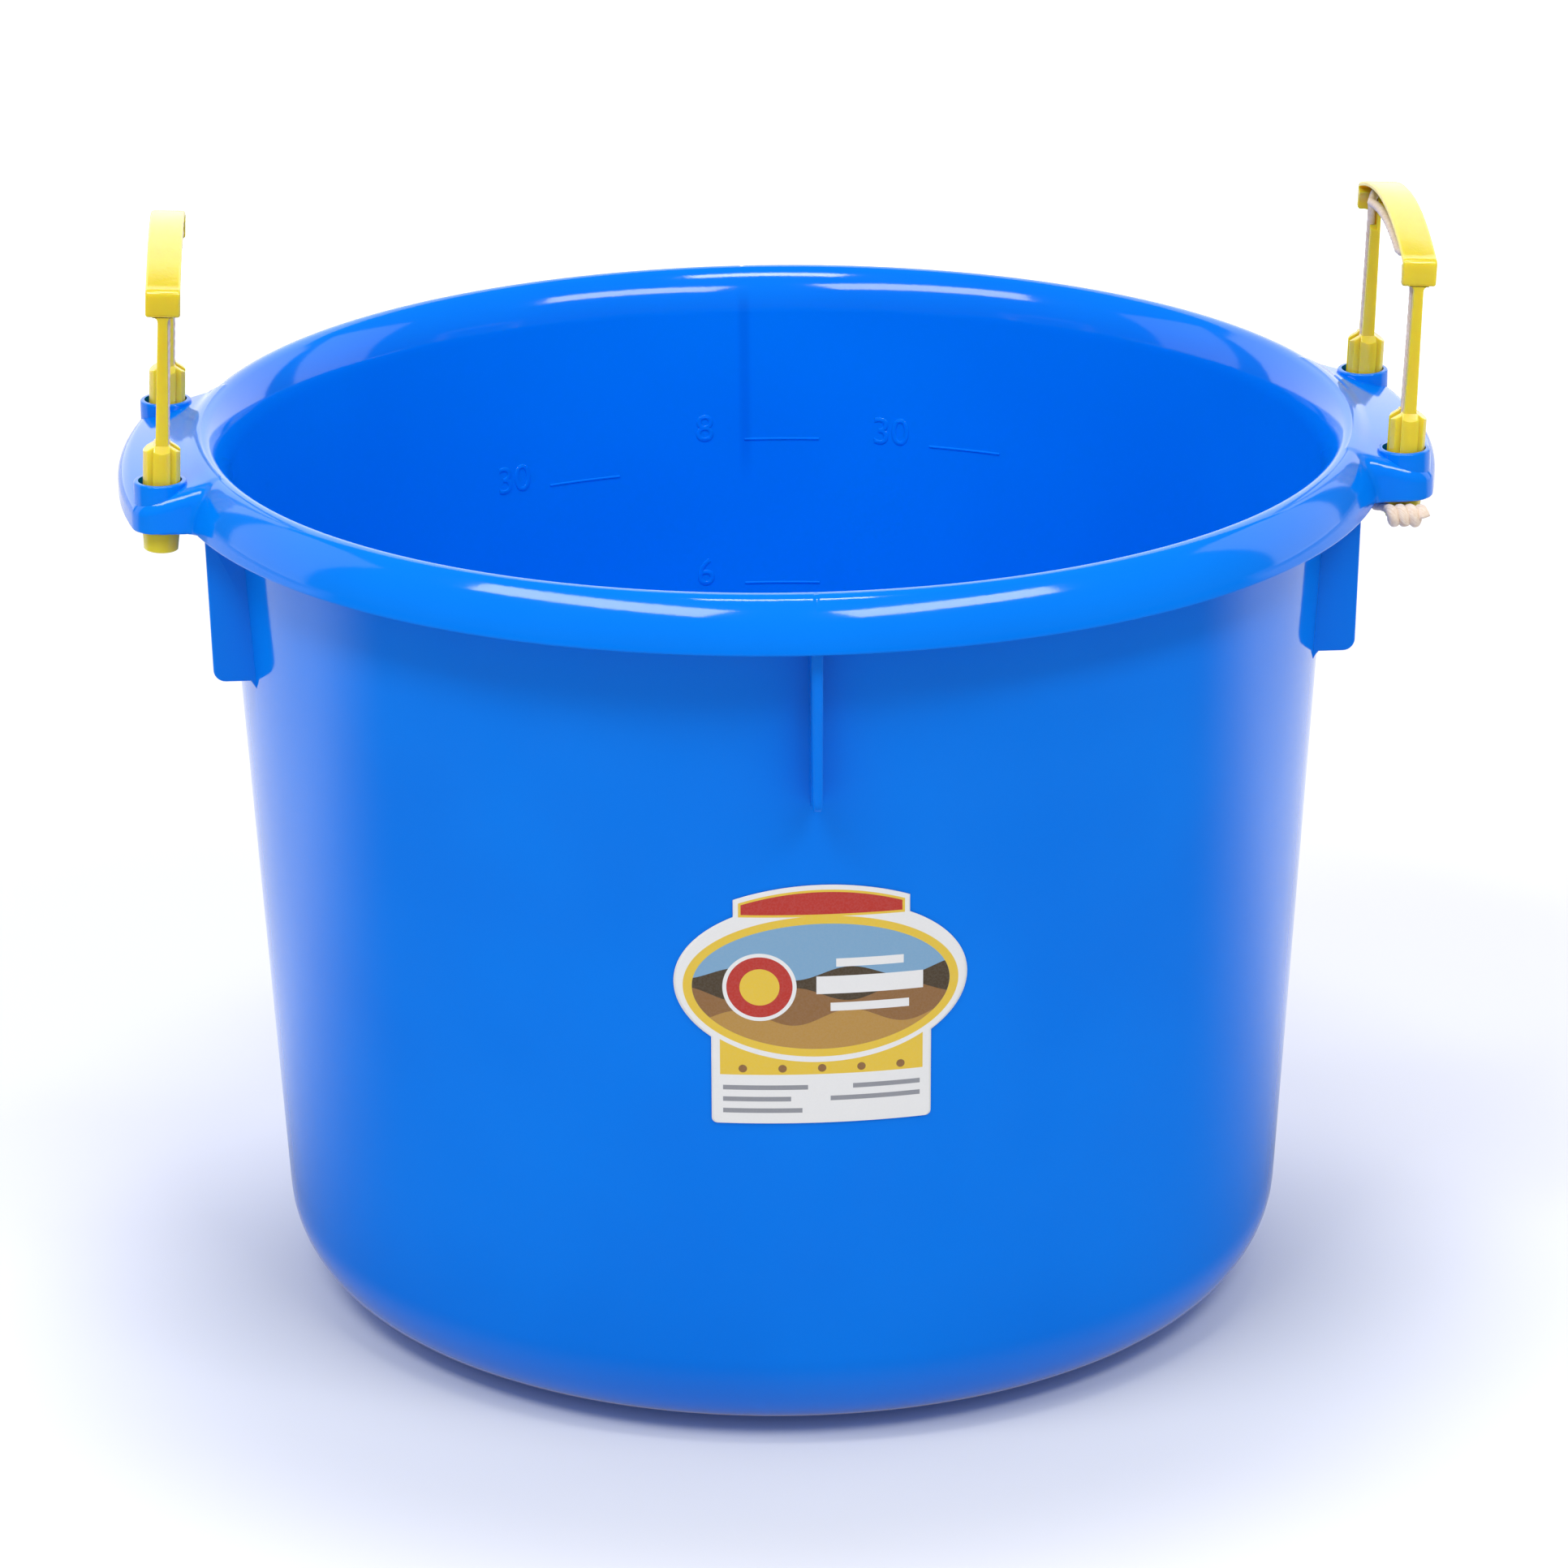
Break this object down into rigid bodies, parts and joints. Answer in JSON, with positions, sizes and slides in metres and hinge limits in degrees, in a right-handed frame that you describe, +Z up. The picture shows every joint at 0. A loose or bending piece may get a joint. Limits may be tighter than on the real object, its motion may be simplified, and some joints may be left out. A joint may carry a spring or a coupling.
{
  "type": "muck bucket",
  "caption": "Round tapered plastic tub with a rolled rim, a socketed ear on each side, and an arched rope-cored carrying handle in each ear.",
  "frame": {"origin": "middle of the flat underside of the base, where the tub stands", "axes": "+Z up along the tub's axis, +X through the ears towards the ear on the viewer's right, -Y towards the label"},
  "size_m": [0.4886, 0.4504, 0.4127],
  "materials": {
    "tub_plastic": "glossy moulded polyethylene",
    "handle_plastic": "semi-gloss moulded polyethylene",
    "rope": "twisted fibre rope",
    "label_film": "printed film"
  },
  "bodies": {
    "tub_body": {"tub": "tub_plastic", "label": "label_film"},
    "left_handle_body": {"left_handle": "handle_plastic", "left_rope": "rope"},
    "right_handle_body": {"right_handle": "handle_plastic", "right_rope": "rope"}
  },
  "joints": [
    {"name": "left_rock", "type": "hinge", "parent": "tub_body", "child": "left_handle_body", "pos_m": [-0.22736, 0, 0.3158], "axis": [0, 1, 0], "range_deg": [-5, 0]},
    {"name": "right_rock", "type": "hinge", "parent": "tub_body", "child": "right_handle_body", "pos_m": [0.22736, 0, 0.3158], "axis": [0, 1, 0], "range_deg": [-5, 0]}
  ]
}
